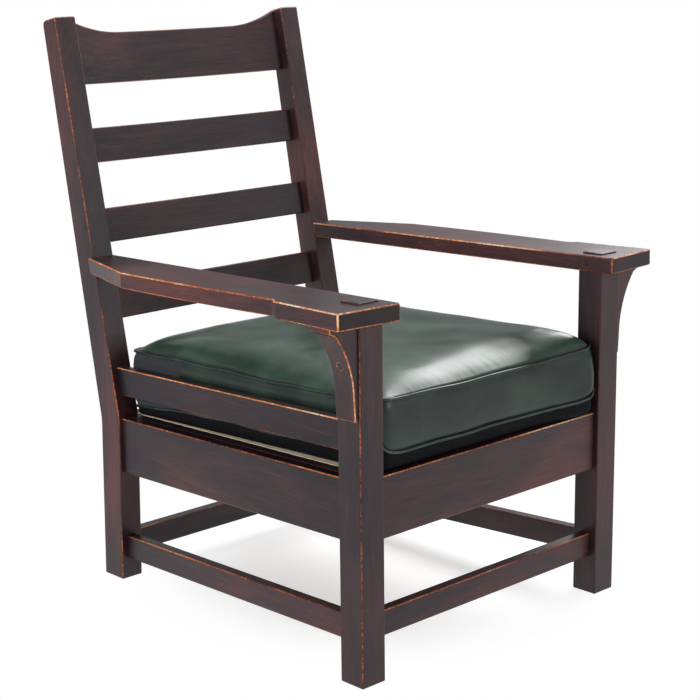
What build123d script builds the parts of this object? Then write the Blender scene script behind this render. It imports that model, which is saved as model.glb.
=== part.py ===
# Mission armchair in fumed oak, with a loose leather cushion on a drop-in seat.
# Millimetres. +Z is up, the chair faces -Y and +X is the sitter's left. The origin is on
# the floor under the middle of the chair's outer box.
from build123d import *
from collections import namedtuple
from math import atan, cos, pi, radians, sin, sqrt, tan
import os

os.makedirs("parts", exist_ok=True)

# Driving dimensions. Depths are counted from the front faces of the front posts.
front_width = 624.0  # over the front posts
rear_width = 574.0  # over the rear posts, so the plan narrows to the back
side_run = 662.0  # from the front faces of the front posts to those of the rear feet
overall_height = 1015.5
post_size = 50.0  # the front posts are square
seat_height = 334.8  # the plane of the seat, at the front faces of the front posts
seat_angle = radians(2.45)  # the seat and the side rails fall to the back
arm_height = 584.6  # the underside of the arms, at the front faces of the front posts
arm_angle = radians(1.31)
arm_overhang = 31.0  # the arms reach this far ahead of the front posts
rake = radians(11.31)  # of the back above the seat
arris = 1.5  # eased edges all over
joint_gap = 0.1  # glue line round each tenon, peg, plug and screw
overrun = 20.0  # for tools that have to pass clear of the wood

# Rear posts: upright below the knee, raked above it, and tapered to the top.
rear_post_width = 44.0
rear_post_depth = 54.0  # at the foot
lean = radians(1.73)  # the lower part leans back to the foot
knee_rise = 1.5  # the post bends just above the rear ends of the side rails
knee_drop = 10.0  # the back edge bends lower than the front edge
knee_radius = 100.0
top_depth = 39.5
top_front_round = 3.0
top_back_round = 11.0
top_side_round = 5.5
knee_height = seat_height - side_run * tan(seat_angle) + knee_rise
knee_y = side_run - knee_height * tan(lean)
top_y = knee_y + (overall_height - knee_height) * tan(rake)
top_back_y = top_y + top_depth * cos(rake)
top_back_z = overall_height - top_depth * sin(rake)

front_inner = front_width / 2 - post_size
rear_inner = rear_width / 2 - rear_post_width
taper = (front_width - rear_width) / 2 / side_run

# Each straight member is a bar. Its setback is from the posts' outer or front faces,
# and its top is the height of its upper edge at the front posts or along the rail.
Bar = namedtuple("Bar", "setback thick top deep")
side_rail_setback = 8.0
side_rail_thick = 21.0
side_rail_depth = 101.6
side_rail = Bar(side_rail_setback, side_rail_thick, seat_height, side_rail_depth)
upper_rail_setback = 12.0
upper_rail_thick = 20.0
upper_rail_depth = 50.3
upper_rail_rise = 92.2  # above the seat rails
upper_side_rail = Bar(upper_rail_setback, upper_rail_thick, seat_height + upper_rail_rise, upper_rail_depth)
liner_thick = 20.5
liner_depth = 60.0
side_liner = Bar(side_rail_setback + side_rail_thick, liner_thick, seat_height, liner_depth)

front_rail_setback = 9.7
front_rail_thick = 20.0
front_rail_depth = 102.0
front_block_y = front_rail_setback + front_rail_thick
front_rail_top = seat_height - front_block_y * tan(seat_angle)
front_rail = Bar(front_rail_setback, front_rail_thick, front_rail_top, front_rail_depth)
rear_setback = 10.0  # of the rear rail and stretcher, from the rear posts' feet
rear_rail_thick = 20.0
rear_rail_depth = 101.0
rear_block_y = side_run + rear_setback
rear_rail_top = seat_height - rear_block_y * tan(seat_angle)
rear_rail = Bar(rear_block_y, rear_rail_thick, rear_rail_top, rear_rail_depth)

stretcher_thick = 20.0
stretcher_depth = 42.8
side_stretcher_setback = 13.0
side_stretcher_top = 110.0
side_stretcher = Bar(side_stretcher_setback, stretcher_thick, side_stretcher_top, stretcher_depth)
front_stretcher_setback = 14.6
front_stretcher_top = 111.2
front_stretcher = Bar(front_stretcher_setback, stretcher_thick, front_stretcher_top, stretcher_depth)
rear_stretcher_top = 85.0
rear_stretcher = Bar(rear_block_y, stretcher_thick, rear_stretcher_top, stretcher_depth)
side_bars = (side_rail, upper_side_rail, side_stretcher)

# Blind mortise and tenon joints of the rails and stretchers.
cheek = 5.0
shoulder = 7.0
tenon_length = 16.0

# Through tenons of the front posts.
through_tenon = 40.0
tenon_proud = 2.8
tenon_bevel = 1.0

# Arms: the values beyond the front post are counted from its outer face.
arm_thick = 27.2
arm_inset = 59.5
arm_rear_inset = 42.5
arm_front_out = 62.5
arm_front_skew = 11.0  # the front end is square to the outer edge, not to the chair
arm_step_out = 52.0
arm_waist_out = 41.5
arm_swell_out = 45.5
arm_rear_out = 41.6
arm_step_y = 128.0
arm_waist_y = 150.0
arm_swell_y = 340.0
arm_clip_y = 537.0
arm_end_out = 10.0
arm_corner = 6.0
arm_arris = 1.8
stub_width = 24.0
stub_thick = 14.0
stub_length = 18.0

# Corbels: how far the outline stands out from the post, and how far below the arm.
corbel_width = 43.0
corbel_front = 3.5
corbel_foot_drop = 151.4
corbel_foot_out = 6.5
corbel_shin_drop = 102.4
corbel_shin_out = 9.2
corbel_neck_drop = 46.4
corbel_neck_out = 24.5
corbel_throat_drop = 13.2
corbel_throat_out = 44.9
corbel_lip_drop = 7.8
corbel_lip_out = 56.3
fastener_drop = 65.4

# Back: a crest rail and three slats, bowed to the back.
slat_setback = 21.0  # from the posts' front faces, measured level
slat_thick = 14.0
slat_cheek = 3.0
slat_height = 62.0
bow_depth = 13.0
crest_height = 116.0
crest_scoop = 25.0
crest_flat = 130.0  # half of the straight middle of the scoop
crest_drop = 120.4  # from the top of the posts to the lower edge of the crest
crest_z = overall_height - crest_drop
upper_slat_share = 0.764  # of the way from the rear rail to the crest
middle_slat_share = 0.522
lower_slat_share = 0.290
upper_slat_z = rear_rail_top + (crest_z - rear_rail_top) * upper_slat_share
middle_slat_z = rear_rail_top + (crest_z - rear_rail_top) * middle_slat_share
lower_slat_z = rear_rail_top + (crest_z - rear_rail_top) * lower_slat_share

# Pegs, plugs and screws.
peg_radius = 5.0
peg_length = 34.0
plug_radius = 6.0
plug_seat_out = 9.0  # the plug's seat stands this far out from the post
screw_radius = 2.0
screw_head_radius = 4.0
screw_head_height = 3.0
corbel_screw_length = 30.0
block_screw_length = 36.0

# Drop-in seat: four bars, two layers of webbing, and the corner blocks that carry it.
seat_gap = 2.0
seat_side_gap = 1.0
seat_rest = 0.2
seat_bar_width = 50.0
seat_bar_thick = 22.0
seat_cheek = 7.0
block_width = 90.0
block_height = 38.0
block_screw_share = 0.6
web_width = 50.0
web_thick = 1.8
web_rebate = 30.0
web_let = 0.2
long_web_count = 5
cross_web_count = 6

# Cushion: its plan, and how high its seams stand above the seat at front and rear.
cushion_front_y = 12.0
cushion_rear_gap = 8.0  # ahead of the rear posts' feet
cushion_side_gap = 4.0  # inside the front posts
cushion_rear_inset = 41.0
cushion_rear_y = side_run - cushion_rear_gap
cushion_front_half = front_width / 2 - post_size - cushion_side_gap
cushion_rear_half = rear_width / 2 - cushion_rear_inset
cushion_corner = 20.0
cushion_rest = 0.3
lower_seam_front = 30.0
lower_seam_rear = 21.0
upper_seam_front = 114.0
upper_seam_rear = 121.0
belly_inset = 16.0
belly_steps = 3
side_draw = 4.0
side_steps = 4
crown_height = 39.0
crown_run = 150.0
crown_steps = 7

# The bowed crest reaches furthest back, at its scooped upper edge. The outer box is
# centred between it and the front edges of the arms.
crest_base_y = knee_y + (crest_z - knee_height) * tan(rake) + slat_setback
crest_back_y = crest_base_y + (bow_depth + slat_thick) * cos(rake)
rear_reach = crest_back_y + (crest_height - crest_scoop - arris) * sin(rake)
front_y = (arm_overhang - rear_reach) / 2


def outer_x(y):
    """The line of the posts' outer faces, at a depth behind the front posts' faces."""
    return front_width / 2 - y * taper


def rake_y(z):
    """The front face of the raked part of the rear posts, at a height."""
    return front_y + knee_y + (z - knee_height) * tan(rake)


def side_joint_end(bar):
    """Where a side bar's tenon ends inside the rear post."""
    top_z = bar.top - side_run * tan(seat_angle)
    if top_z < knee_height:
        return side_run - top_z * tan(lean) + tenon_length
    return knee_y + (top_z - knee_height) * tan(rake) + tenon_length


def slimmed(bar, cheeks, shoulders):
    """The same bar, thinner by its cheeks and shallower by its shoulders."""
    return Bar(bar.setback + cheeks, bar.thick - 2 * cheeks, bar.top - shoulders, bar.deep - 2 * shoulders)


def tenon_of(bar):
    """The tenon that is cut on a bar's ends."""
    return slimmed(bar, cheek, shoulder)


def mortise_of(bar):
    """The mortise that takes a bar's tenon."""
    return slimmed(bar, cheek - joint_gap, shoulder - joint_gap)


def side_member(bar, start, end, mode=Mode.ADD):
    """A bar on the +X side. It follows the narrowing plan and the fall of the seat."""
    ends = []
    for y in (start, end):
        with BuildSketch(Plane(origin=(0, front_y + y, 0), x_dir=(1, 0, 0), z_dir=(0, -1, 0))) as section:
            middle = outer_x(y) - bar.setback - bar.thick / 2
            with Locations((middle, bar.top - y * tan(seat_angle) - bar.deep / 2)):
                Rectangle(bar.thick, bar.deep)
        ends.append(section.sketch)
    loft(ends, mode=mode)


def cross_member(bar, half_length, mode=Mode.ADD):
    """A level bar across the chair, from one side to the other."""
    with BuildSketch(Plane.XY.offset(bar.top - bar.deep)) as section:
        with Locations((0, front_y + bar.setback + bar.thick / 2)):
            Rectangle(2 * half_length, bar.thick)
    extrude(section.sketch, amount=bar.deep, mode=mode)


def ease_long_edges(bar):
    """Ease the four long edges of a straight bar."""
    chamfer(bar.edges().sort_by(SortBy.LENGTH)[-4:], length=arris)


def bow(x):
    """How far a bowed slat stands behind its own ends, at a place across the chair."""
    radius = (rear_inner**2 + bow_depth**2) / (2 * bow_depth)
    return sqrt(radius**2 - x**2) - (radius - bow_depth)


def bowed_strip(bottom_z, height, half_length, inset, thick, mode=Mode.ADD):
    """A strip that is bowed to the back and stands in the raked plane of the back."""
    y = rake_y(bottom_z) + slat_setback
    raked = Plane(origin=(0, y, bottom_z), x_dir=(1, 0, 0), z_dir=(0, sin(rake), cos(rake)))
    end = bow(half_length) + inset
    middle = bow(0) + inset
    with BuildSketch(raked) as plan:
        with BuildLine():
            front = ThreePointArc((-half_length, end), (0, middle), (half_length, end))
            back = ThreePointArc(
                (-half_length, end + thick), (0, middle + thick), (half_length, end + thick)
            )
            Line(front @ 0, back @ 0)
            Line(front @ 1, back @ 1)
        make_face()
    extrude(plan.sketch, amount=height, mode=mode)


def slat_tenons(bottom_z, height, gap, mode=Mode.ADD):
    """A slat's tenons in one strip across the chair, or their mortises with a gap."""
    low = bottom_z + (shoulder - gap) * cos(rake)
    high = height - 2 * (shoulder - gap)
    thin = slat_thick - 2 * (slat_cheek - gap)
    bowed_strip(low, high, rear_inner + tenon_length + gap, slat_cheek - gap, thin, mode)


def arm_stub(gap, mode=Mode.ADD):
    """The stub tenon on an arm's rear end, or its mortise in the rear post."""
    with BuildSketch(arm_plane.offset((arm_thick - stub_thick) / 2 - gap)) as stub:
        with Locations((rear_inner + rear_post_width / 2, arm_rear_y)):
            Rectangle(stub_width + 2 * gap, 2 * (stub_length + gap))
    extrude(stub.sketch, amount=stub_thick + 2 * gap, mode=mode)


def screw(head, length, gap=0):
    """A screw, or its bore with a gap. It goes down from a plane at the top of its head."""
    with BuildSketch(head) as top:
        Circle(screw_head_radius + gap)
    extrude(top.sketch, amount=-screw_head_height - gap)
    with BuildSketch(head.offset(-screw_head_height)) as neck:
        Circle(screw_radius + gap)
    extrude(neck.sketch, amount=-length - gap)


def screw_set(heads, length, gap=0):
    """The screws at some heads on the +X side with their mirror images, or their bores."""
    with BuildPart() as screws:
        for head in heads:
            screw(head, length, gap)
        mirror(about=Plane.YZ)
    return screws


def write(piece, name):
    """Name a finished piece and write it to its own file."""
    piece.part.label = name
    export_step(piece.part, f"parts/{name}.step")


def write_pair(piece, name):
    """Write a piece that is made for the +X side, and its mirror image."""
    write(piece, f"left_{name}")
    with BuildPart() as opposite:
        mirror(piece.part, about=Plane.YZ)
    write(opposite, f"right_{name}")


# Faces that the pieces meet: each plane's normal looks to the front or up.
lower_post_face = Plane(
    origin=(0, front_y + side_run, 0), x_dir=(1, 0, 0), z_dir=(0, -cos(lean), -sin(lean))
)
upper_post_face = Plane(
    origin=(0, front_y + knee_y, knee_height), x_dir=(1, 0, 0), z_dir=(0, -cos(rake), sin(rake))
)
arm_plane = Plane(
    origin=(0, front_y, arm_height), x_dir=(1, 0, 0), z_dir=(0, sin(arm_angle), cos(arm_angle))
)
seat_plane = Plane(
    origin=(0, front_y, seat_height), x_dir=(1, 0, 0), z_dir=(0, sin(seat_angle), cos(seat_angle))
)

# The pegs and the heads of the screws, in the corbels under their plugs and in the
# corner blocks. All are for the +X side.
post_middle_y = front_y + post_size / 2
arm_rear_y = knee_y + (arm_height - knee_height) * tan(rake)
arm_taper = (front_width - rear_width) / 2 - arm_inset + arm_rear_inset
arm_narrowing = arm_taper / (arm_rear_y + arm_overhang)
peg_x = front_width / 2 - arm_inset - arm_narrowing * (arm_overhang + post_size / 2)
peg_plane = Plane(
    origin=(peg_x, post_middle_y, arm_height + arm_thick / 2), x_dir=(0, 1, 0), z_dir=(1, 0, 0)
)
corbel_screw_head = Plane(
    origin=(front_width / 2 + plug_seat_out, post_middle_y, arm_height - fastener_drop),
    x_dir=(0, 1, 0),
    z_dir=(1, 0, 0),
)
liner_back = side_liner.setback + side_liner.thick


def liner_x(y):
    """The inner face of the side liner, at a depth."""
    return outer_x(y) - liner_back


def block_screw_heads(corner_y, direction):
    """Two screws in a corner block: one into the rail and one into the liner."""
    reach = block_width * block_screw_share
    inside = block_width - reach - 2 * screw_head_height
    z = seat_height - corner_y * tan(seat_angle) - seat_bar_thick - block_height / 2
    far_y = corner_y + direction * reach
    to_rail = (liner_x(corner_y) - reach, front_y + corner_y + direction * inside, z)
    to_liner = (liner_x(far_y) - inside, front_y + far_y, z)
    return [
        Plane(origin=to_rail, x_dir=(1, 0, 0), z_dir=(0, direction, 0)),
        Plane(origin=to_liner, x_dir=(0, 1, 0), z_dir=(-1, 0, 0)),
    ]


block_screw_tops = block_screw_heads(front_block_y, 1) + block_screw_heads(rear_block_y, -1)
block_bores = screw_set(block_screw_tops, block_screw_length, joint_gap).part
corbel_bores = screw_set([corbel_screw_head], corbel_screw_length, joint_gap).part

# Front posts: square, with the rails' mortises and a through tenon at the top.
with BuildPart() as front_post:
    with BuildSketch():
        with Locations((front_inner + post_size / 2, post_middle_y)):
            Rectangle(post_size, post_size)
    extrude(amount=arm_height + overrun)
    chamfer(front_post.edges().filter_by(Axis.Z) + front_post.edges().group_by(Axis.Z)[0], length=arris)
    split(bisect_by=arm_plane, keep=Keep.BOTTOM)
    with BuildSketch(Plane.XY.offset(arm_height - overrun)):
        with Locations((front_inner + post_size / 2, post_middle_y)):
            Rectangle(through_tenon, through_tenon)
    extrude(amount=overrun + arm_thick + tenon_proud)
    chamfer(front_post.edges().group_by(Axis.Z)[-1], length=tenon_bevel)
    for bar in side_bars:
        mortise_start = post_size - tenon_length - joint_gap
        side_member(mortise_of(bar), mortise_start, post_size + overrun, Mode.SUBTRACT)
    for bar in (front_rail, front_stretcher):
        cross_member(mortise_of(bar), front_inner + tenon_length + joint_gap, Mode.SUBTRACT)
    with BuildSketch(peg_plane):
        Circle(peg_radius + joint_gap)
    extrude(amount=peg_length + joint_gap, mode=Mode.SUBTRACT)
    add(corbel_bores, mode=Mode.SUBTRACT)

write_pair(front_post, "front_post")

# Rear posts: one bent and tapered piece from the floor to the crest.
with BuildPart() as rear_post:
    with BuildSketch(Plane(origin=(rear_inner, front_y, 0), x_dir=(0, 1, 0), z_dir=(1, 0, 0))) as rear_side:
        knee_back_z = knee_height - knee_drop
        knee_back_y = side_run + rear_post_depth - knee_back_z * tan(lean)
        with BuildLine():
            front_edge = FilletPolyline(
                (side_run, 0), (knee_y, knee_height), (top_y, overall_height), radius=knee_radius
            )
            back_edge = FilletPolyline(
                (side_run + rear_post_depth, 0),
                (knee_back_y, knee_back_z),
                (top_back_y, top_back_z),
                radius=knee_radius,
            )
            Line(front_edge @ 0, back_edge @ 0)
            Line(front_edge @ 1, back_edge @ 1)
        make_face()
        fillet(rear_side.vertices().sort_by(Axis.Y)[-2], radius=top_back_round)
        fillet(rear_side.vertices().sort_by(Axis.Y)[-1], radius=top_front_round)
    extrude(amount=rear_post_width)
    flanks = rear_post.faces().sort_by(Axis.X)[0].edges() + rear_post.faces().sort_by(Axis.X)[-1].edges()
    foot_ends = rear_post.edges().group_by(Axis.Z)[0]
    chamfer(ShapeList(set(flanks + foot_ends)), length=arris)
    top_middle = (rear_inner + rear_post_width / 2, front_y + top_y, overall_height)
    raked_front = Plane(origin=top_middle, x_dir=(1, 0, 0), z_dir=(0, -cos(rake), sin(rake)))
    with BuildSketch(raked_front) as front_outline:
        Rectangle(rear_post_width, 2 * overall_height, align=(Align.CENTER, Align.MAX))
        fillet(front_outline.vertices().group_by(Axis.Y)[-1], radius=top_side_round)
    extrude(amount=overall_height, both=True, mode=Mode.INTERSECT)
    for bar in side_bars:
        side_member(mortise_of(bar), knee_y - overrun, side_joint_end(bar) + joint_gap, Mode.SUBTRACT)
    for bar in (rear_rail, rear_stretcher):
        cross_member(mortise_of(bar), rear_inner + tenon_length + joint_gap, Mode.SUBTRACT)
    arm_stub(joint_gap, Mode.SUBTRACT)
    slat_tenons(crest_z, crest_height, joint_gap, Mode.SUBTRACT)
    for slat_z in (upper_slat_z, middle_slat_z, lower_slat_z):
        slat_tenons(slat_z, slat_height, joint_gap, Mode.SUBTRACT)

write_pair(rear_post, "rear_post")



def side_piece(bar, post_face, name):
    """A rail or stretcher beside the chair. Its rear shoulder lies on the post's face."""
    with BuildPart() as piece:
        side_member(bar, post_size, side_joint_end(bar))
        split(bisect_by=post_face, keep=Keep.TOP)
        ease_long_edges(piece)
        side_member(tenon_of(bar), post_size - tenon_length, side_joint_end(bar))
    write_pair(piece, name)


def cross_piece(bar, half_length, name):
    """A rail or stretcher across the chair, between two posts."""
    with BuildPart() as piece:
        cross_member(bar, half_length)
        ease_long_edges(piece)
        cross_member(tenon_of(bar), half_length + tenon_length)
        add(block_bores, mode=Mode.SUBTRACT)
    write(piece, name)


side_piece(side_rail, lower_post_face, "seat_rail")
side_piece(upper_side_rail, upper_post_face, "upper_side_rail")
side_piece(side_stretcher, lower_post_face, "stretcher")
cross_piece(front_rail, front_inner, "front_seat_rail")
cross_piece(rear_rail, rear_inner, "rear_seat_rail")
cross_piece(front_stretcher, front_inner, "front_stretcher")
cross_piece(rear_stretcher, rear_inner, "rear_stretcher")

# Liners: strips glued inside the side rails, between the posts.
with BuildPart() as liner:
    side_member(side_liner, post_size, side_joint_end(side_rail))
    split(bisect_by=lower_post_face, keep=Keep.TOP)
    ease_long_edges(liner)
    add(block_bores, mode=Mode.SUBTRACT)

write_pair(liner, "side_liner")

# Crest rail: bowed to the back, with its upper edge scooped between the posts.
with BuildPart() as crest_rail:
    bowed_strip(crest_z, crest_height, rear_inner, 0, slat_thick)
    slat_tenons(crest_z, crest_height, 0)
    crest_face = Plane(
        origin=(0, rake_y(crest_z) + slat_setback, crest_z),
        x_dir=(1, 0, 0),
        z_dir=(0, -cos(rake), sin(rake)),
    )
    with BuildSketch(crest_face):
        with BuildLine():
            low = crest_height - crest_scoop
            Line((-crest_flat, low), (crest_flat, low))
            TangentArc((crest_flat, low), (rear_inner, crest_height), tangent=(1, 0))
            TangentArc((-crest_flat, low), (-rear_inner, crest_height), tangent=(-1, 0))
            above = crest_height + overrun
            Polyline(
                (-rear_inner, crest_height),
                (-rear_inner, above),
                (rear_inner, above),
                (rear_inner, crest_height),
            )
        make_face()
    extrude(amount=bow_depth + slat_thick + overrun, both=True, mode=Mode.SUBTRACT)
    between_posts = crest_rail.edges().filter_by(lambda edge: abs(edge.center().X) < rear_inner - arris)
    chamfer(between_posts, length=arris)

write(crest_rail, "crest_rail")


def slat_piece(bottom_z, name):
    """One of the three bowed slats of the back."""
    with BuildPart() as slat:
        bowed_strip(bottom_z, slat_height, rear_inner, 0, slat_thick)
        ease_long_edges(slat)
        slat_tenons(bottom_z, slat_height, 0)
    write(slat, name)


slat_piece(upper_slat_z, "upper_back_slat")
slat_piece(middle_slat_z, "middle_back_slat")
slat_piece(lower_slat_z, "lower_back_slat")

# Arms: wide ahead of the front post, stepped in behind it by an ogee, swelling gently
# and clipped to the rear post, which they enter with a stub tenon.
with BuildPart() as arm:
    outer = front_width / 2
    step = (outer + arm_step_out, arm_step_y)
    waist = (outer + arm_waist_out, arm_waist_y)
    ogee_middle = (outer + (arm_step_out + arm_waist_out) / 2, (arm_step_y + arm_waist_y) / 2)
    clip = (outer + arm_rear_out, arm_clip_y)
    end_x = rear_width / 2 + arm_end_out
    inner_rear = (rear_width / 2 - arm_rear_inset, arm_rear_y)
    with BuildSketch(arm_plane):
        with BuildLine():
            TangentArc(step, ogee_middle, tangent=(0, 1))
            TangentArc(waist, ogee_middle, tangent=(0, -1))
            ThreePointArc(waist, (outer + arm_swell_out, arm_swell_y), clip)
            Polyline(clip, (end_x, arm_rear_y), (end_x, arm_rear_y + overrun))
            Polyline((end_x, arm_rear_y + overrun), (inner_rear[0], arm_rear_y + overrun), inner_rear)
            FilletPolyline(
                inner_rear,
                (outer - arm_inset, -arm_overhang),
                (outer + arm_front_out, -arm_overhang + arm_front_skew),
                step,
                radius=arm_corner,
            )
        make_face()
    extrude(amount=arm_thick)
    split(bisect_by=upper_post_face, keep=Keep.TOP)
    top_edges = arm.faces().sort_by(Axis.Z)[-1].edges().sort_by(Axis.Y)[:-1]
    bottom_edges = arm.faces().sort_by(Axis.Z)[0].edges().sort_by(Axis.Y)[:-1]
    chamfer(top_edges + bottom_edges, length=arm_arris)
    arm_stub(0)
    with BuildSketch(Plane.XY.offset(arm_height - overrun)):
        with Locations((front_inner + post_size / 2, post_middle_y)):
            Rectangle(through_tenon + 2 * joint_gap, through_tenon + 2 * joint_gap)
    extrude(amount=arm_thick + 2 * overrun, mode=Mode.SUBTRACT)
    with BuildSketch(peg_plane.offset(-overrun)):
        Circle(peg_radius + joint_gap)
    extrude(amount=peg_length + overrun, mode=Mode.SUBTRACT)

write_pair(arm, "arm")

# Arm pegs: each one locks a through tenon from the inner edge of the arm.
with BuildPart() as arm_pegs:
    with BuildSketch(peg_plane):
        Circle(peg_radius)
    extrude(amount=peg_length)
    mirror(about=Plane.YZ)

write(arm_pegs, "arm_pegs")


def corbel_block(mode=Mode.ADD):
    """The corbel's outline, drawn outwards from the post, through the corbel's width."""
    face = Plane(
        origin=(front_width / 2, front_y + corbel_front, 0), x_dir=(1, 0, 0), z_dir=(0, -1, 0)
    )
    with BuildSketch(face) as outline:
        with BuildLine():
            shin = (corbel_shin_out, arm_height - corbel_shin_drop)
            throat = (corbel_throat_out, arm_height - corbel_throat_drop)
            ThreePointArc(shin, (corbel_neck_out, arm_height - corbel_neck_drop), throat)
            Polyline(
                throat,
                (corbel_lip_out, arm_height - corbel_lip_drop),
                (corbel_lip_out, arm_height + overrun),
                (0, arm_height + overrun),
                (0, arm_height - corbel_foot_drop),
                (corbel_foot_out, arm_height - corbel_foot_drop),
                shin,
            )
        make_face()
    extrude(outline.sketch, amount=-corbel_width, mode=mode)


# Corbels: brackets under the arms, screwed to the outer faces of the front posts.
with BuildPart() as corbel:
    corbel_block()
    split(bisect_by=arm_plane, keep=Keep.BOTTOM)
    face_edges = corbel.faces().sort_by(Axis.Y)[0].edges() + corbel.faces().sort_by(Axis.Y)[-1].edges()
    free_edges = face_edges.filter_by(
        lambda edge: edge.center().X > front_width / 2 + arris and edge.center().Z < arm_height - arm_arris
    )
    chamfer(free_edges, length=arris)
    add(corbel_bores, mode=Mode.SUBTRACT)
    with BuildSketch(corbel_screw_head):
        Circle(plug_radius + joint_gap)
    extrude(amount=overrun, mode=Mode.SUBTRACT)

write_pair(corbel, "corbel")
write(screw_set([corbel_screw_head], corbel_screw_length), "corbel_screws")

# Corbel plugs: they fill the bores over the screws, level with the corbels' faces.
with BuildPart() as corbel_plugs:
    with BuildSketch(corbel_screw_head):
        Circle(plug_radius)
    extrude(amount=overrun)
    corbel_block(Mode.INTERSECT)
    mirror(about=Plane.YZ)

write(corbel_plugs, "corbel_plugs")


def corner_block(corner_y, direction, name):
    """A triangular block under a corner of the drop-in seat."""
    with BuildPart() as block:
        far_y = corner_y + direction * block_width
        fall = seat_bar_thick + seat_rest + block_height
        with BuildSketch(Plane.XY.offset(seat_height - max(corner_y, far_y) * tan(seat_angle) - fall)):
            Polygon(
                (liner_x(corner_y), front_y + corner_y),
                (liner_x(far_y), front_y + far_y),
                (liner_x(corner_y) - block_width, front_y + corner_y),
                align=None,
            )
        extrude(amount=block_height + overrun)
        split(bisect_by=seat_plane.offset(-seat_bar_thick - seat_rest), keep=Keep.BOTTOM)
        add(block_bores, mode=Mode.SUBTRACT)
    write_pair(block, name)


corner_block(front_block_y, 1, "front_corner_block")
corner_block(rear_block_y, -1, "rear_corner_block")
write(screw_set(block_screw_tops, block_screw_length), "corner_block_screws")


def seat_half(y):
    """Half the width of the drop-in seat, which follows the liners."""
    return liner_x(y) - seat_side_gap


# Where the bars of the drop-in seat start and end, from front to back.
seat_front_y = front_block_y + seat_gap
seat_rear_y = rear_block_y - seat_gap
side_bar_front_y = seat_front_y + seat_bar_width
side_bar_rear_y = seat_rear_y - seat_bar_width


def seat_strip(start, end, inset, width, drop, thick, mode=Mode.ADD):
    """A strip along the +X edge of the drop-in seat, inset from that edge."""
    with BuildSketch(seat_plane.offset(-drop)) as strip:
        Polygon(
            (seat_half(start) - inset, start),
            (seat_half(end) - inset, end),
            (seat_half(end) - inset - width, end),
            (seat_half(start) - inset - width, start),
            align=None,
        )
    extrude(strip.sketch, amount=-thick, mode=mode)


def seat_tenon(gap, mode=Mode.ADD):
    """The tenons at both ends of a side bar, in one strip, or their mortises."""
    seat_strip(
        side_bar_front_y - tenon_length - gap,
        side_bar_rear_y + tenon_length + gap,
        shoulder - gap,
        seat_bar_width - 2 * (shoulder - gap),
        seat_cheek - gap,
        seat_bar_thick - 2 * (seat_cheek - gap),
        mode,
    )


def seat_cross_bar(start, end, rebate_start, rebate_end, name):
    """The front or rear bar of the drop-in seat, with the rebate for both layers of webbing."""
    with BuildPart() as bar:
        with BuildSketch(seat_plane):
            Polygon((0, start), (seat_half(start), start), (seat_half(end), end), (0, end), align=None)
        extrude(amount=-seat_bar_thick)
        rebate_x = seat_half(side_bar_rear_y) - seat_bar_width + web_rebate
        with BuildSketch(seat_plane):
            Polygon(
                (0, rebate_start),
                (rebate_x, rebate_start),
                (rebate_x, rebate_end),
                (0, rebate_end),
                align=None,
            )
        extrude(amount=-2 * web_thick - web_let, mode=Mode.SUBTRACT)
        seat_tenon(joint_gap, Mode.SUBTRACT)
        mirror(about=Plane.YZ)
    write(bar, name)


seat_cross_bar(
    seat_front_y, side_bar_front_y, side_bar_front_y - web_rebate, side_bar_front_y, "seat_front_bar"
)
seat_cross_bar(
    side_bar_rear_y, seat_rear_y, side_bar_rear_y, side_bar_rear_y + web_rebate, "seat_rear_bar"
)

# Side bars of the drop-in seat, with a rebate for the cross webbing.
with BuildPart() as seat_side_bar:
    seat_strip(side_bar_front_y, side_bar_rear_y, 0, seat_bar_width, 0, seat_bar_thick)
    rebate_inset = seat_bar_width - web_rebate
    web_drop = web_thick + web_let
    seat_strip(side_bar_front_y, side_bar_rear_y, rebate_inset, web_rebate, 0, web_drop, Mode.SUBTRACT)
    seat_tenon(0)

write_pair(seat_side_bar, "seat_side_bar")

# Webbing: straps from front to back, with straps from side to side on top of them.
with BuildPart() as long_webbing:
    web_pitch = 2 * (seat_half(side_bar_rear_y) - seat_bar_width) / long_web_count
    web_run = side_bar_rear_y - side_bar_front_y
    with BuildSketch(seat_plane.offset(-web_thick - web_let)):
        with Locations((0, (side_bar_front_y + side_bar_rear_y) / 2)):
            with GridLocations(web_pitch, 0, long_web_count, 1):
                Rectangle(web_width, web_run + 2 * web_rebate - 2 * web_let)
    extrude(amount=-web_thick)

write(long_webbing, "long_webbing")

with BuildPart() as cross_webbing:
    for index in range(cross_web_count):
        middle_y = side_bar_front_y + web_run * (index + 0.5) / cross_web_count
        half = seat_half(middle_y) - seat_bar_width + web_rebate - seat_side_gap - web_let
        with BuildSketch(seat_plane.offset(-web_let)):
            with Locations((0, middle_y)):
                Rectangle(2 * half, web_width)
        extrude(amount=-web_thick)

write(cross_webbing, "cross_webbing")


def cushion_section(front_rise, rear_rise, inset):
    """The cushion's outline at one level above the seat, drawn in from its fullest plan."""
    length = cushion_rear_y - cushion_front_y
    tilt = seat_angle - atan((rear_rise - front_rise) / length)
    start = seat_plane.from_local_coords((0, cushion_front_y, front_rise))
    level = Plane(origin=start, x_dir=(1, 0, 0), z_dir=(0, sin(tilt), cos(tilt)))
    with BuildSketch(level) as section:
        Polygon(
            (-cushion_front_half + inset, inset),
            (cushion_front_half - inset, inset),
            (cushion_rear_half - inset, length - inset),
            (-cushion_rear_half + inset, length - inset),
            align=None,
        )
        fillet(section.vertices(), radius=cushion_corner)
    return section.sketch


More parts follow.
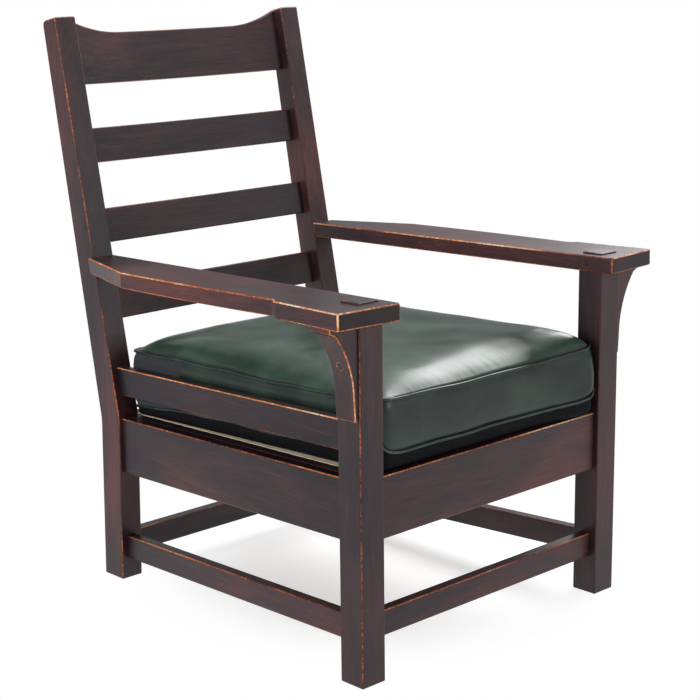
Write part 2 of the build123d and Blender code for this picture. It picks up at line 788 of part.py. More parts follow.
# Cushion: a full belly under the lower seam, sides drawn in between the seams, and a
# crown that rises fast from the upper seam to a broad flat top.
with BuildPart() as cushion:
    levels = []
    for step in range(belly_steps + 1):
        turn = pi / 2 * step / belly_steps
        front_rise = cushion_rest + (lower_seam_front - cushion_rest) * sin(turn)
        rear_rise = cushion_rest + (lower_seam_rear - cushion_rest) * sin(turn)
        levels.append(cushion_section(front_rise, rear_rise, belly_inset * (1 - sin(turn))))
    for step in range(1, side_steps + 1):
        share = step / side_steps
        front_rise = lower_seam_front + (upper_seam_front - lower_seam_front) * share
        rear_rise = lower_seam_rear + (upper_seam_rear - lower_seam_rear) * share
        levels.append(cushion_section(front_rise, rear_rise, side_draw * sin(pi * share)))
    for step in range(1, crown_steps + 1):
        turn = pi / 2 * step / crown_steps
        rise = crown_height * sin(turn)
        levels.append(
            cushion_section(upper_seam_front + rise, upper_seam_rear + rise, crown_run * (1 - cos(turn)))
        )
    loft(levels, ruled=True)

write(cushion, "cushion")
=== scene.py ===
import math

import bmesh
import bpy
from mathutils import Euler, Matrix, Vector, noise


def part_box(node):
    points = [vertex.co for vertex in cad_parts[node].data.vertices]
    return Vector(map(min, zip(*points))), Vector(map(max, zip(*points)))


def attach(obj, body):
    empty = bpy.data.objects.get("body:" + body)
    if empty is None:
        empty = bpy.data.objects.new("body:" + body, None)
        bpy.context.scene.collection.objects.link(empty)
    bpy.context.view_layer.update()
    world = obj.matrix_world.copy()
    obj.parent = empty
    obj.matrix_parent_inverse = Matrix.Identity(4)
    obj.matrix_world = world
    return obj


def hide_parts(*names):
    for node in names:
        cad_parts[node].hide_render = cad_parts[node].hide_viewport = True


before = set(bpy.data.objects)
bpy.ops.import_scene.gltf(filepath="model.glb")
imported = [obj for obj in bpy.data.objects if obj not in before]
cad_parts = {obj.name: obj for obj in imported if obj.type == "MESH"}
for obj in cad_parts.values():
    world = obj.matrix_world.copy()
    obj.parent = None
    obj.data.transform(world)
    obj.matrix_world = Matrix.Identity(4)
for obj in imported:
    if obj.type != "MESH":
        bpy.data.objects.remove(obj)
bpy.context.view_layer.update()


# Front posts: square white oak, fumed and waxed, with through tenons that stand proud of the
# arms. Ammonia and a dark wax leave the oak almost black with red lights and a satin sheen.
# Its end grain is blacker, and its eased arrises are rubbed to the raw orange wood.
MM = 0.001  # the frame is in metres
OAK_STREAK = 3.5 * MM  # the width of a band of the grain
OAK_FLECK = 8.75 * MM  # the rays of the wood, which show pale
OAK_PORE = 1.6 * MM  # drawn coarser than the real 0.3 mm, so that it shows
OAK_PATCH = 130 * MM  # the cloudiness of the fuming and the wax
OAK_DENT = 28 * MM  # the space between dents
OAK_ALONG = 0.045  # a band's width as a share of its length
OAK_WANDER = 0.3  # and that of a patch or a rubbed place
RUB_LENGTH = 70 * MM  # the length of a rubbed run
RUB_GRIT = 5 * MM  # the ragged breaks in it
RUB_HALO = 2 * MM  # how far from an arris it reaches
RUB_SPREAD = 2.2  # how much the rubbing differs from place to place
RUB_REACH = 1.2  # how far a rubbed arris wears for each share of its rubbing
# A turn that lays the long way of a pattern along each axis.
GRAIN_X = Euler((0, math.pi / 2, 0))
GRAIN_Y = Euler((math.pi / 2, 0, 0))
GRAIN_Z = Euler((0, 0, 0))
posts_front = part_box("left_front_post")[0][1]  # the place of their front faces


def linear(hex_colour):
    """An sRGB hex colour as the linear RGBA that the shaders take."""
    parts = [int(hex_colour[i : i + 2], 16) / 255 for i in (1, 3, 5)]
    return [p / 12.92 if p <= 0.04045 else ((p + 0.055) / 1.055) ** 2.4 for p in parts] + [1.0]


def add(material, kind, inputs=None, stops=(), **settings):
    """Adds a node to a material or the world, with its settings and, on a colour ramp, its
    (place, colour) stops. Each input takes a number, a hex colour, or the node or socket that
    it is linked to."""
    new = material.node_tree.nodes.new("ShaderNode" + kind)
    for name, value in settings.items():
        setattr(new, name, value)
    for key, value in (inputs or {}).items():
        if isinstance(value, bpy.types.Node):
            value = next(socket for socket in value.outputs if socket.enabled)
        if isinstance(value, bpy.types.NodeSocket):
            material.node_tree.links.new(value, new.inputs[key])
        else:
            new.inputs[key].default_value = linear(value) if isinstance(value, str) else value
    for number, (place, colour) in enumerate(stops):
        if number == len(new.color_ramp.elements):
            new.color_ramp.elements.new(1.0)
        new.color_ramp.elements[number].position = place
        new.color_ramp.elements[number].color = linear(colour)
    return new


def new_material(name):
    """A material without nodes."""
    material = bpy.data.materials.new(name)
    material.use_nodes = True
    material.node_tree.nodes.clear()
    return material


def fumed_oak(name, grain, redness, worn, seed, flat=None, outer=False, sheen=0.36, blunt=False):
    """Fumed oak with its grain along one axis. Worn is how far the arrises that look up, level
    and down are rubbed. Flat is the axis of a piece whose curved outline has its arrises on
    two faces only. Outer rubs a post's outer front corner most, and blunt also rubs the
    vertical corners ahead of the front posts."""
    oak = new_material(name)
    place = add(oak, "TexCoord").outputs["Object"]
    turned = add(oak, "Mapping", {"Vector": place, "Rotation": grain})
    along, wander = (
        add(oak, "Mapping", {"Vector": turned, "Location": (seed,) * 3, "Scale": (1, 1, share)})
        for share in (OAK_ALONG, OAK_WANDER)
    )
    patch, streak, fleck, pore, run, grit = (
        add(
            oak,
            "TexNoise",
            {"Vector": vector, "Scale": 1 / size, "Detail": detail, "Roughness": roughness},
        )
        for vector, size, detail, roughness in (
            (wander, OAK_PATCH, 4.0, 0.6),
            (along, OAK_STREAK, 5.0, 0.65),
            (along, OAK_FLECK, 2.0, 0.6),
            (along, OAK_PORE, 2.0, 0.6),
            (wander, RUB_LENGTH, 3.0, 0.7),
            (place, RUB_GRIT, 3.0, 0.8),
        )
    )
    dent = add(oak, "TexVoronoi", {"Vector": place, "Scale": 1 / OAK_DENT})

    # The wood's own tone, with pale flecks, dark pores, and a few small grey dents.
    tint = (redness - 0.5) * 0.4 - 0.2
    tone = add(oak, "Math", {0: streak, 1: 0.5, 2: tint}, operation="MULTIPLY_ADD")
    tone = add(oak, "Math", {0: patch, 1: 0.9, 2: tone}, operation="MULTIPLY_ADD")
    wood = add(
        oak,
        "ValToRGB",
        {"Fac": tone},
        stops=(
            (0.28, "#17101a"),
            (0.42, "#2a1b20"),
            (0.55, "#3d2326"),
            (0.70, "#572d29"),
            (0.86, "#6c392e"),
        ),
    )
    flecks = add(
        oak,
        "MapRange",
        {"Value": fleck, "From Min": 0.60, "From Max": 0.72, "To Max": 0.2},
        interpolation_type="SMOOTHSTEP",
    )
    wood = add(oak, "Mix", {"Factor": flecks, "A": wood, "B": "#5a4540"}, data_type="RGBA")
    pores = add(
        oak,
        "MapRange",
        {"Value": pore, "From Min": 0.60, "From Max": 0.70, "To Max": 0.6},
        interpolation_type="SMOOTHSTEP",
    )
    wood = add(oak, "Mix", {"Factor": pores, "A": wood, "B": "#0a0809"}, data_type="RGBA")
    dented = add(
        oak,
        "MapRange",
        {"Value": dent, "From Min": 0.05, "From Max": 0.02, "To Max": 0.5},
        interpolation_type="SMOOTHSTEP",
    )
    knocked = add(
        oak,
        "MapRange",
        {"Value": patch, "From Min": 0.52, "From Max": 0.6},
        interpolation_type="SMOOTHSTEP",
    )
    nicks = add(oak, "Math", {0: dented, 1: knocked}, operation="MULTIPLY")
    wood = add(oak, "Mix", {"Factor": nicks, "A": wood, "B": "#a08f86"}, data_type="RGBA")

    normal = add(oak, "NewGeometry").outputs["True Normal"]
    square = add(oak, "VectorMath", {0: normal}, operation="ABSOLUTE")
    square = add(oak, "SeparateXYZ", {0: square}).outputs
    end_grain = add(
        oak,
        "MapRange",
        {
            "Value": square[(GRAIN_X, GRAIN_Y, GRAIN_Z).index(grain)],
            "From Min": 0.85,
            "From Max": 0.95,
            "To Max": 0.65,
        },
        interpolation_type="SMOOTHSTEP",
    )
    wood = add(oak, "Mix", {"Factor": end_grain, "A": wood, "B": "#0e0a0c"}, data_type="RGBA")

    # The eased arrises lie at 45 degrees to the faces, so their normals tell them apart.
    if flat is None:
        most = add(oak, "Math", {0: square[0], 1: square[1]}, operation="MAXIMUM")
        most = add(oak, "Math", {0: most, 1: square[2]}, operation="MAXIMUM")
        eased = add(
            oak,
            "MapRange",
            {"Value": most, "From Min": 0.86, "From Max": 0.80},
            interpolation_type="SMOOTHSTEP",
        )
    else:
        steep, shallow = (
            add(
                oak,
                "MapRange",
                {"Value": square[flat], "From Min": low, "From Max": high},
                interpolation_type="SMOOTHSTEP",
            )
            for low, high in ((0.3, 0.4), (0.95, 0.9))
        )
        eased = add(oak, "Math", {0: steep, 1: shallow}, operation="MULTIPLY")
    rounded = add(oak, "Bevel", {"Radius": RUB_HALO}, samples=8)
    meeting = add(oak, "VectorMath", {0: rounded, 1: normal}, operation="DOT_PRODUCT")
    halo = add(
        oak,
        "MapRange",
        {"Value": meeting.outputs["Value"], "From Min": 0.995, "From Max": 0.90},
        interpolation_type="SMOOTHSTEP",
    )
    edge = add(oak, "Math", {0: eased, 1: halo}, operation="MAXIMUM")
    here = add(oak, "SeparateXYZ", {0: place}).outputs
    if blunt:
        corner = add(oak, "Math", {0: square[0], 1: square[1]}, operation="MINIMUM")
        corner = add(
            oak,
            "MapRange",
            {"Value": corner, "From Min": 0.35, "From Max": 0.6},
            interpolation_type="SMOOTHSTEP",
        )
        ahead = add(
            oak,
            "MapRange",
            {"Value": here[1], "From Min": posts_front, "From Max": posts_front - 10 * MM},
            interpolation_type="SMOOTHSTEP",
        )
        corner = add(oak, "Math", {0: corner, 1: ahead}, operation="MULTIPLY")
        edge = add(oak, "Math", {0: edge, 1: corner}, operation="MAXIMUM")

    # How far each arris is rubbed, from where it looks.
    lean = add(oak, "SeparateXYZ", {0: rounded}).outputs
    upward, downward = (
        add(
            oak,
            "MapRange",
            {"Value": lean[2], "From Min": sign * 0.08, "From Max": sign * 0.3},
            interpolation_type="SMOOTHSTEP",
        )
        for sign in (1, -1)
    )
    level = add(oak, "Math", {0: 1.0, 1: upward}, operation="SUBTRACT")
    level = add(oak, "Math", {0: level, 1: downward}, operation="SUBTRACT")
    if outer:
        side = add(oak, "Math", {0: here[0]}, operation="SIGN")
        outward = add(oak, "Math", {0: lean[0], 1: side}, operation="MULTIPLY")
        outward = add(oak, "Math", {0: outward, 1: lean[1]}, operation="SUBTRACT")
        outward = add(
            oak,
            "MapRange",
            {"Value": outward, "From Min": 0.4, "From Max": 1.1, "To Min": 0.4},
            interpolation_type="SMOOTHSTEP",
        )
        level = add(oak, "Math", {0: level, 1: outward}, operation="MULTIPLY")
    depth = 0.0
    for share, rubbing in zip((upward, level, downward), worn):
        reach = rubbing * RUB_REACH
        depth = add(oak, "Math", {0: share, 1: reach, 2: depth}, operation="MULTIPLY_ADD")
    broken = add(oak, "Math", {0: grit, 1: 0.9, 2: run}, operation="MULTIPLY_ADD")
    depth = add(oak, "Math", {0: broken, 1: RUB_SPREAD, 2: depth}, operation="MULTIPLY_ADD")
    depth = add(
        oak,
        "MapRange",
        {"Value": depth, "From Min": 2.20, "From Max": 3.90},
        interpolation_type="SMOOTHSTEP",
    )
    depth = add(oak, "Math", {0: depth, 1: edge}, operation="MULTIPLY")
    raw = add(
        oak,
        "ValToRGB",
        {"Fac": depth},
        stops=(
            (0.05, "#4a261d"),
            (0.30, "#8f4628"),
            (0.55, "#c9713a"),
            (0.78, "#e59c5e"),
            (0.95, "#f7e2cf"),
        ),
    )
    rubbed = add(
        oak,
        "MapRange",
        {"Value": depth, "From Min": 0.02, "From Max": 0.2},
        interpolation_type="SMOOTHSTEP",
    )
    colour = add(oak, "Mix", {"Factor": rubbed, "A": wood, "B": raw}, data_type="RGBA")

    # Wax fills the pores less than the bands, and the rubbed wood is duller.
    rough = add(oak, "Math", {0: streak, 1: 0.2, 2: 0.28}, operation="MULTIPLY_ADD")
    rough = add(oak, "Math", {0: rubbed, 1: 0.15, 2: rough}, operation="MULTIPLY_ADD")
    height = add(oak, "Math", {0: streak, 1: 0.5}, operation="MULTIPLY")
    height = add(oak, "Math", {0: height, 1: pores}, operation="SUBTRACT")
    relief = add(
        oak,
        "Bump",
        {"Height": height, "Strength": 0.25, "Distance": 0.5 * MM, "Normal": rounded},
    )
    shader = add(
        oak,
        "BsdfPrincipled",
        {"Base Color": colour, "Roughness": rough, "Normal": relief, "Specular IOR Level": sheen},
    )
    add(oak, "OutputMaterial", {"Surface": shader})
    return oak


def dress(material, *names):
    """Gives CAD nodes a material."""
    for name in names:
        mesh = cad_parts[name].data
        mesh.materials.clear()
        mesh.materials.append(material)


dress(
    fumed_oak("fumed_oak_front_posts", GRAIN_Z, 0.5, (0.5, 0.5, 0.25), 1.7, outer=True),
    "left_front_post",
    "right_front_post",
)


# Rear posts: one oak board each from foot to crest, sawn to a bend above the seat and tapered
# upwards. Their rounded tops are handled most, so the wax is thin there.
dress(
    fumed_oak("fumed_oak_rear_posts", GRAIN_Z, 0.5, (0.8, 0.45, 0.25), 5.2, outer=True),
    "left_rear_post",
    "right_rear_post",
)


# Crest rail: a bowed oak board with a scooped top, tenoned between the rear posts. It is
# touched at its lower edge, where the chair is lifted.
dress(fumed_oak("fumed_oak_crest", GRAIN_X, 0.42, (0.5, 0.0, 0.55), 6.6), "crest_rail")


# Back slats: three oak boards bowed to the same curve and tenoned between the rear posts.
# They are a little darker than the crest rail, with thin worn lines above and below.
dress(
    fumed_oak("fumed_oak_slats", GRAIN_X, 0.34, (0.55, 0.0, 0.5), 7.3),
    "upper_back_slat",
    "middle_back_slat",
    "lower_back_slat",
)


# Front and rear seat rails: deep oak boards on edge, tenoned between the posts. The front
# one's upper arris is rubbed by legs and by the seat's lifting.
dress(
    fumed_oak("fumed_oak_cross_rails", GRAIN_X, 0.5, (0.85, 0.0, 0.2), 4.4),
    "front_seat_rail",
    "rear_seat_rail",
)


# Side seat rails: the same oak boards between front and rear posts, on a splayed plan. They
# hang in the arms' shade, so they are duller and their wear is weaker.
dress(
    fumed_oak("fumed_oak_side_seat_rails", GRAIN_Y, 0.25, (0.7, 0.0, 0.2), 6.1, sheen=0.30),
    "left_seat_rail",
    "right_seat_rail",
)


# Side liners: dark oak strips glued inside the side rails, beside the drop-in seat. They are
# hardly touched, so they have no bright arrises.
dress(
    fumed_oak("fumed_oak_side_liners", GRAIN_Y, 0.35, (0.1, 0.0, 0.0), 2.2),
    "left_side_liner",
    "right_side_liner",
)


# Upper side rails: narrow oak rails that keep the cushion in, tenoned into the posts below
# the arms. Their upper arris is a clear orange line.
dress(
    fumed_oak("fumed_oak_upper_side_rails", GRAIN_Y, 0.05, (0.9, 0.0, 0.35), 7.9, sheen=0.27),
    "left_upper_side_rail",
    "right_upper_side_rail",
)


# Side stretchers: oak rails near the floor from post to post, which brace the legs. Shoes
# scuff their upper arrises now and then.
dress(
    fumed_oak("fumed_oak_side_stretchers", GRAIN_Y, 0.45, (0.5, 0.0, 0.1), 2.9),
    "left_stretcher",
    "right_stretcher",
)


# Front and rear stretchers: the same rails across the chair. The front one is scuffed by
# heels along its upper arris.
dress(
    fumed_oak("fumed_oak_cross_stretchers", GRAIN_X, 0.5, (0.7, 0.0, 0.1), 8.3),
    "front_stretcher",
    "rear_stretcher",
)


# Corbels: oak brackets sawn to a long curve, glued and screwed to the posts' outer faces
# below the arms. Their whole curved edge is rubbed, so it is the brightest line of all.
dress(
    fumed_oak("fumed_oak_corbels", GRAIN_Z, 0.6, (0.5, 0.8, 0.8), 9.4, flat=1, outer=True),
    "left_corbel",
    "right_corbel",
)


# Arms: broad oak boards with a stepped outline, slotted over the posts' tenons. Hands have
# dulled their top and rubbed their arrises, most of all at the blunt front corners.
dress(
    fumed_oak(
        "fumed_oak_arms", GRAIN_Y, 0.53, (0.85, 0.9, 0.65), 3.1, flat=2, sheen=0.26, blunt=True
    ),
    "left_arm",
    "right_arm",
)


# Pegs and plugs: small oak dowels. The pegs lock the posts' tenons in the arms, and the
# plugs cover the corbels' screws. Both are cut flush, so only their rings show.
dress(
    fumed_oak("fumed_oak_pegs", GRAIN_X, 0.3, (0.0, 0.0, 0.0), 0.8), "arm_pegs", "corbel_plugs"
)


# Corner blocks: sawn pine, screwed and glued inside the seat rails, to carry the seat. Pine
# is left raw, so it is cream with pale brown growth rings and a matt, slightly fuzzy face.
PINE_RING = 8 * MM
PINE_STAIN = 50 * MM
PINE_ALONG = 0.05  # a ring's width as a share of its length


def sawn_pine(name, grain):
    """Raw pine with its grain along one axis."""
    pine = new_material(name)
    place = add(pine, "TexCoord").outputs["Object"]
    turned = add(pine, "Mapping", {"Vector": place, "Rotation": grain})
    along = add(pine, "Mapping", {"Vector": turned, "Scale": (1, 1, PINE_ALONG)})
    ring = add(pine, "TexNoise", {"Vector": along, "Scale": 1 / PINE_RING, "Detail": 3.0})
    dirt = add(pine, "TexNoise", {"Vector": place, "Scale": 1 / PINE_STAIN, "Detail": 4.0})
    rings = ((0.35, "#ecd5a6"), (0.5, "#fbecc9"), (0.7, "#fff6e0"))
    wood = add(pine, "ValToRGB", {"Fac": ring}, stops=rings)
    stain = add(
        pine,
        "MapRange",
        {"Value": dirt, "From Min": 0.5, "From Max": 0.7, "To Max": 0.35},
        interpolation_type="SMOOTHSTEP",
    )
    colour = add(pine, "Mix", {"Factor": stain, "A": wood, "B": "#b08d5c"}, data_type="RGBA")
    relief = add(pine, "Bump", {"Height": ring, "Strength": 0.3, "Distance": 0.4 * MM})
    shader = add(
        pine, "BsdfPrincipled", {"Base Color": colour, "Roughness": 0.7, "Normal": relief}
    )
    add(pine, "OutputMaterial", {"Surface": shader})
    return pine


pine_along_sides = sawn_pine("sawn_pine_side_bars", GRAIN_Y)
dress(
    pine_along_sides,
    "left_front_corner_block",
    "right_front_corner_block",
    "left_rear_corner_block",
    "right_rear_corner_block",
)


# Screws: turned steel wood screws through the corbels and the corner blocks. The steel was
# left bright and is now dull grey with a little brown tarnish.
STEEL_TARNISH = 4 * MM
steel = new_material("dull_steel")
steel_place = add(steel, "TexCoord").outputs["Object"]
tarnish = add(
    steel, "TexNoise", {"Vector": steel_place, "Scale": 1 / STEEL_TARNISH, "Detail": 3.0}
)
steel_shader = add(
    steel,
    "BsdfPrincipled",
    {
        "Base Color": add(
            steel, "ValToRGB", {"Fac": tarnish}, stops=((0.4, "#8b8985"), (0.7, "#5d5248"))
        ),
        "Metallic": 1.0,
        "Roughness": add(
            steel, "Math", {0: tarnish, 1: 0.3, 2: 0.25}, operation="MULTIPLY_ADD"
        ),
    },
)
add(steel, "OutputMaterial", {"Surface": steel_shader})
dress(steel, "corbel_screws", "corner_block_screws")


# Seat bars: the drop-in seat's frame of four sawn pine bars, halved and glued at the corners.
# The pine is left raw, since only a pale line of it shows below the cushion.
dress(pine_along_sides, "left_seat_side_bar", "right_seat_side_bar")
dress(sawn_pine("sawn_pine_cross_bars", GRAIN_X), "seat_front_bar", "seat_rear_bar")


# Webbing: straps of coarse brown jute from front to back, with straps from side to side on
# top of them, tacked to the bars of the drop-in seat. The yarn shows as rows of small bright
# and dark dashes.
JUTE_YARN = 3 * MM  # drawn coarser than the real 1.5 mm, so that it shows
WAVE_LENGTH = 0.314  # of a wave texture of scale 1
jute = new_material("jute_webbing")
jute_place = add(jute, "TexCoord").outputs["Object"]
warp, weft = (
    add(
        jute,
        "TexWave",
        {
            "Vector": jute_place,
            "Scale": WAVE_LENGTH / JUTE_YARN,
            "Distortion": 1.0,
            "Detail": 2.0,
        },
        bands_direction=direction,
    ).outputs["Fac"]
    for direction in "XY"
)
woven = add(jute, "Math", {0: warp, 1: weft}, operation="MULTIPLY")
yarns = ((0.0, "#4a3722"), (0.4, "#8d6d45"), (1.0, "#b89766"))
jute_relief = add(jute, "Bump", {"Height": woven, "Strength": 0.6, "Distance": 0.8 * MM})
jute_shader = add(
    jute,
    "BsdfPrincipled",
    {
        "Base Color": add(jute, "ValToRGB", {"Fac": woven}, stops=yarns),
        "Roughness": 0.9,
        "Normal": jute_relief,
    },
)
add(jute, "OutputMaterial", {"Surface": jute_shader})
dress(jute, "long_webbing", "cross_webbing")


# Cushion: a foam-filled box cushion in dark green leather, drawn tight over its piped seams.
# The back and the last hand's breadth of each side are black cotton, and the underside is
# black cambric, whose near-black colour is painted shade. It lies loose on the drop-in seat.
cushion_low, cushion_high = (Vector(corner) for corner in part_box("cushion"))
seat_fall = math.tan(math.radians(2.45))  # towards the back
seat_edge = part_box("seat_front_bar")
cushion_front = cushion_low.y
rear_ease = 5 * MM  # behind the rear of the CAD solid
cushion_length = cushion_high.y + rear_ease - cushion_front
front_half = 257 * MM  # half the width, at the front and at the rear
rear_half = 247 * MM
front_corner = 24 * MM  # the corners' radius in plan
rear_corner = 16 * MM

# The seams' heights are above the seat, and their places are counted from the front.
lower_seam = 29 * MM
lower_corner_lift = 20 * MM
lower_corner_reach = 18 * MM
lower_sink = 11 * MM  # towards the back
sink_start = 440 * MM
sink_length = 210 * MM
sink_bend = 1.3
upper_seam = 112.5 * MM
upper_corner_lift = 8.5 * MM
upper_corner_reach = 80 * MM
upper_climb = 7 * MM  # towards the back
climb_start = 150 * MM
climb_length = 500 * MM
seam_ripple = 2.2 * MM
ripples_across = 3.1
ripples_back = 4.3
seam_pinch = 4 * MM
boxing_swell = 2.6 * MM
belly_inset = 13 * MM
belly_lift = 0.5 * MM
corner_pull = 8 * MM
lower_corner_pull = 10 * MM  # more than that, at the lower seam
corner_pull_reach = 90 * MM

# The crown rises from the upper seam over these lengths.
crown = 40 * MM
crown_side = 13 * MM
crown_near_front = 32 * MM  # at the sitter's right side, slacker towards the front
crown_front = 40 * MM
crown_front_turn = 20 * MM  # more at the sitter's right and less at the left
crown_front_bend = 0.8  # under 1, a tighter roll at the seam and a longer slope behind it
crown_rear = 44 * MM

panel_columns = 72
panel_rows = 88
side_rows = 10
seam_crowding = 0.32
UNDERSIDE, LOWER_SEAM, UPPER_SEAM, TOP = -1.0, 0.0, 1.0, 2.0


def seat_z(y):
    """The plane of the seat at a place from front to back."""
    return seat_edge[1][2] - (y - seat_edge[0][1]) * seat_fall


def crowd(share):
    """Crowds the rows of the mesh towards the seams, where the form bends most."""
    return share * (1 + seam_crowding * (1 - share * share))


def swell(reach, distance, bend=1.0):
    """A height that rises from a seam and levels out."""
    return 1 - math.exp(-((max(0.0, distance) / reach) ** bend))


def cushion_point(u, v, w):
    """A point of the cushion. u runs across and v back from -1 to 1. w is the height on the
    boxing between the two seams, or says that the point is on the underside or the top."""
    u, v = crowd(u), crowd(v)
    t = (v + 1) / 2
    half = front_half + (rear_half - front_half) * t
    x = abs(u) * half
    y = t * cushion_length
    side_gap, front_gap, rear_gap = half - x, y, cushion_length - y
    inside = min(side_gap, front_gap, rear_gap)
    corner_radius = front_corner if v < 0 else rear_corner
    y_end = min(front_gap, rear_gap)

    # The corners are round in plan.
    a = (x - half + corner_radius) / corner_radius
    b = (corner_radius - y_end) / corner_radius
    if a > 0 and b > 0:
        scale = max(a, b) / math.hypot(a, b)
        x = half - corner_radius + corner_radius * a * scale
        y_end = corner_radius - corner_radius * b * scale
        y = y_end if v < 0 else cushion_length - y_end

    # The seams' heights, and the height of the point between them, below them or above them.
    from_corner = side_gap + front_gap
    ripple = noise.noise(Vector((u * ripples_across, v * ripples_back, 0.7))) * seam_ripple
    low = lower_seam + lower_corner_lift * math.exp(-from_corner / lower_corner_reach) + ripple
    low -= lower_sink * max(0.0, (y - sink_start) / sink_length) ** sink_bend
    high = upper_seam + upper_corner_lift * math.exp(-from_corner / upper_corner_reach) + ripple
    high += upper_climb * max(0.0, (y - climb_start) / climb_length)
    if w == UNDERSIDE:
        turn = max(0.0, 1 - inside / belly_inset)
        z = belly_lift + (low - belly_lift) * (1 - math.sqrt(max(0.0, 1 - turn * turn)))
    elif w == TOP:
        slack = (crown_near_front - crown_side) * (1 - t) * max(0.0, -u) ** 0.5
        front_reach = crown_front - crown_front_turn * u
        rise = swell(crown_side + slack, side_gap)
        rise *= swell(front_reach, front_gap, crown_front_bend) * swell(crown_rear, rear_gap)
        z = high + crown * rise
    else:
        z = low + (high - low) * w
        on_seam = w in (LOWER_SEAM, UPPER_SEAM)
        out = -seam_pinch if on_seam else boxing_swell * math.sin(math.pi * w)
        x *= 1 + out / half
        y += out * (y / cushion_length * 2 - 1)

    # The corner at the sitter's left front is drawn forward.
    from_pulled = math.hypot(half - math.copysign(x, u), front_gap)
    pull = corner_pull + lower_corner_pull * (1 - min(1.0, max(0.0, w)))
    y -= pull * math.exp(-((from_pulled / corner_pull_reach) ** 2))
    y += cushion_front
    return Vector((math.copysign(x, u), y, seat_z(y) + z))


shell = bmesh.new()
level = shell.verts.layers.float.new("level")
across = shell.verts.layers.float.new("across")
back = shell.verts.layers.float.new("back")
bmesh.ops.create_grid(shell, x_segments=panel_columns, y_segments=panel_rows, size=1.0)
for vert in shell.verts:
    vert[level] = TOP
rim = [edge for edge in shell.edges if edge.is_boundary]
for edge in rim:
    for vert in edge.verts:
        vert[level] = UPPER_SEAM
for row in range(side_rows):
    wall = bmesh.ops.extrude_edge_only(shell, edges=rim)["geom"]
    rim = [e for e in wall if isinstance(e, bmesh.types.BMEdge) and e.is_boundary]
    for edge in rim:
        for vert in edge.verts:
            vert[level] = 1 - (row + 1) / side_rows
underside = bmesh.ops.create_grid(
    shell, x_segments=panel_columns, y_segments=panel_rows, size=1.0
)["verts"]
for vert in underside:
    vert[level] = UNDERSIDE
for edge in {e for vert in underside for e in vert.link_edges if e.is_boundary}:
    for vert in edge.verts:
        vert[level] = LOWER_SEAM
for vert in shell.verts:
    vert[across] = vert.co.x
    vert[back] = vert.co.y
for vert in shell.verts:
    vert.co = cushion_point(vert[across], vert[back], vert[level])
bmesh.ops.remove_doubles(shell, verts=shell.verts, dist=0.05 * MM)
bmesh.ops.recalc_face_normals(shell, faces=shell.faces)
cushion_mesh = bpy.data.meshes.new("cushion_cover")
shell.to_mesh(cushion_mesh)
cushion = bpy.data.objects.new("cushion_cover", cushion_mesh)
bpy.context.scene.collection.objects.link(cushion)

# The foam presses the cover out a little between its seams, which are held.
levels = [item.value for item in cushion_mesh.attributes["level"].data]
start = [vert.co.copy() for vert in cushion_mesh.vertices]
touching = 3 * MM
over_seat = 0.4 * MM  # the least height of the underside
held = cushion.vertex_groups.new(name="seams")
for index, value in enumerate(levels):
    vert = start[index]
    on_seat = value == UNDERSIDE and vert.z < seat_z(vert.y) + touching
    if value in (LOWER_SEAM, UPPER_SEAM) or on_seat:
        held.add([index], 1.0, "REPLACE")

press_frames = 20
cloth = cushion.modifiers.new("cloth", "CLOTH")
cloth.settings.quality = 6
cloth.settings.mass = 0.4
cloth.settings.tension_stiffness = 40
cloth.settings.compression_stiffness = 40
cloth.settings.shear_stiffness = 20
cloth.settings.bending_stiffness = 3
cloth.settings.vertex_group_mass = "seams"
cloth.settings.use_pressure = True
cloth.settings.uniform_pressure_force = 2.0
cloth.settings.effector_weights.gravity = 0
cloth.collision_settings.use_collision = False
cloth.point_cache.frame_start = 1
cloth.point_cache.frame_end = press_frames
for number in range(1, press_frames + 1):
    bpy.context.scene.frame_set(number)
evaluated = cushion.evaluated_get(bpy.context.evaluated_depsgraph_get())
settled = [vert.co.copy() for vert in evaluated.data.vertices]
cushion.modifiers.remove(cloth)
bpy.context.scene.frame_set(1)

# Leather is stiff, so the small wrinkles of the simulation are smoothed out of it.
most_move = 1.5 * MM
smoothings = 24
moves = [after - before for before, after in zip(start, settled)]
neighbours = [[] for _ in moves]
for edge in cushion_mesh.edges:
    a, b = edge.vertices
    neighbours[a].append(b)
    neighbours[b].append(a)
for _ in range(smoothings):
    moves = [
        move if not move.length else sum((moves[i] for i in beside), move) / (len(beside) + 1)
        for move, beside in zip(moves, neighbours)
    ]
for vert, before, move in zip(cushion_mesh.vertices, start, moves):
    if move.length > most_move:
        move = move * (most_move / move.length)
    vert.co = before + move
for vert in cushion_mesh.vertices:
    vert.co.z = max(vert.co.z, seat_z(vert.co.y) + over_seat)
for polygon in cushion_mesh.polygons:
    polygon.use_smooth = True

finer = cushion.modifiers.new("finer", "SUBSURF")
finer.levels = finer.render_levels = 1

# Green leather is chrome-tanned and pigmented, with a low gloss topcoat: a fine pebble,
# cloudy colour, and on the top panel small stretch creases square to the front seam.
LEATHER_CLOUD = 90 * MM
LEATHER_PEBBLE = 2.2 * MM  # drawn coarser than the real 1 mm, so that it shows
LEATHER_CREASE = 10 * MM
CREASE_ALONG = 0.1  # a crease's width as a share of its length
CREASE_REACH = 120 * MM
LEATHER_IOR = 1.52


